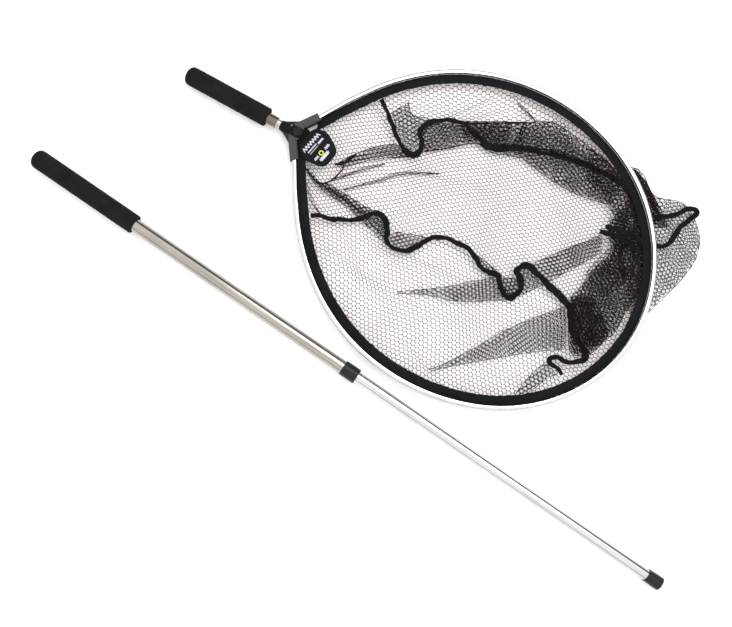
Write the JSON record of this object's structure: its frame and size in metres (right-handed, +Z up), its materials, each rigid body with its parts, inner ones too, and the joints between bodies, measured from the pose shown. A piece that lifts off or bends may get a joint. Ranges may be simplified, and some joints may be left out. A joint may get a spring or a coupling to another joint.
{
  "type": "landing net",
  "caption": "Landing net: teardrop aluminium hoop with a netting bag, yoke and short screw-in handle, beside a twist-lock telescopic handle that takes its place.",
  "frame": {"origin": "on the surface, under the middle of the whole kit's box", "axes": "+X from the short handle to the far end of the hoop, +Y across, with the telescopic handle on the -Y side, +Z up"},
  "size_m": [1.1014, 0.584, 0.0298],
  "materials": {
    "hoop_aluminium": "satin anodised",
    "bead_cord": "braided cord",
    "woven_band": "dark woven tape",
    "netting": "knotless hexagonal netting",
    "seam_tape": "folded woven tape",
    "patch": "moulded patch, matt with pale areas",
    "yoke_plastic": "moulded grey nylon",
    "fastener_steel": "turned, satin",
    "ring_steel": "polished",
    "stem_tube": "bronze-grey anodised",
    "grip_foam": "closed-cell foam",
    "turned_brass": "turned",
    "black_plastic": "moulded, satin",
    "outer_tube_metal": "grey anodised",
    "bearing_plastic": "acetal",
    "inner_tube_metal": "bright anodised"
  },
  "bodies": {
    "net_head": {"hoop_frame": "hoop_aluminium", "hem_bead": "bead_cord", "hem_band": "woven_band", "centre_panel": "netting", "left_panel": "netting", "right_panel": "netting", "left_seam_tape": "seam_tape", "right_seam_tape": "seam_tape", "label_patch": "patch", "yoke_body": "yoke_plastic", "yoke_cover": "yoke_plastic", "hoop_screws": "fastener_steel", "threaded_stud": "fastener_steel", "stud_pin": "fastener_steel"},
    "thrust_ring": {"thrust_ring": "ring_steel"},
    "short_handle": {"short_tube": "stem_tube", "short_grip": "grip_foam", "short_insert": "turned_brass", "short_butt_plug": "black_plastic"},
    "pole_outer": {"outer_tube": "outer_tube_metal", "long_grip": "grip_foam", "long_butt_plug": "black_plastic", "collar": "black_plastic", "guide_bush": "bearing_plastic"},
    "lock_collet": {"expander_collet": "bearing_plastic"},
    "lock_cone": {"expander_cone": "black_plastic"},
    "pole_inner": {"inner_tube": "inner_tube_metal", "expander_screw": "fastener_steel", "screw_stop": "fastener_steel", "end_fitting": "black_plastic", "end_insert": "turned_brass"}
  },
  "joints": [
    {"name": "handle_turn", "type": "hinge", "parent": "net_head", "child": "thrust_ring", "pos_m": [-0.26217, 0.04423, 0.0145], "axis": [-1, 0, 0], "range_deg": [0, 3600]},
    {"name": "handle_unscrew", "type": "slide", "parent": "thrust_ring", "child": "short_handle", "axis": [-1, 0, 0], "range_m": [0, 0.0127]},
    {"name": "pole_lift", "type": "slide", "parent": "net_head", "child": "pole_outer", "axis": [0, 0, 1], "range_m": [0, 0.3]},
    {"name": "telescope", "type": "slide", "parent": "pole_outer", "child": "lock_collet", "axis": [0.9955, -0.0945, -0.0049], "range_m": [-0.44, 0]},
    {"name": "twist_lock", "type": "hinge", "parent": "lock_collet", "child": "pole_inner", "pos_m": [-0.05241, -0.22499, 0.01295], "axis": [0.9955, -0.0945, -0.0049], "range_deg": [0, 360]},
    {"name": "cone_travel", "type": "slide", "parent": "lock_collet", "child": "lock_cone", "axis": [-0.9955, 0.0945, 0.0049], "range_m": [0, 0.001]}
  ],
  "couplings": [
    {"joint": "handle_turn", "follows": "handle_unscrew", "rad_per_m": 4947.3},
    {"joint": "twist_lock", "follows": "cone_travel", "rad_per_m": 6283.2}
  ]
}
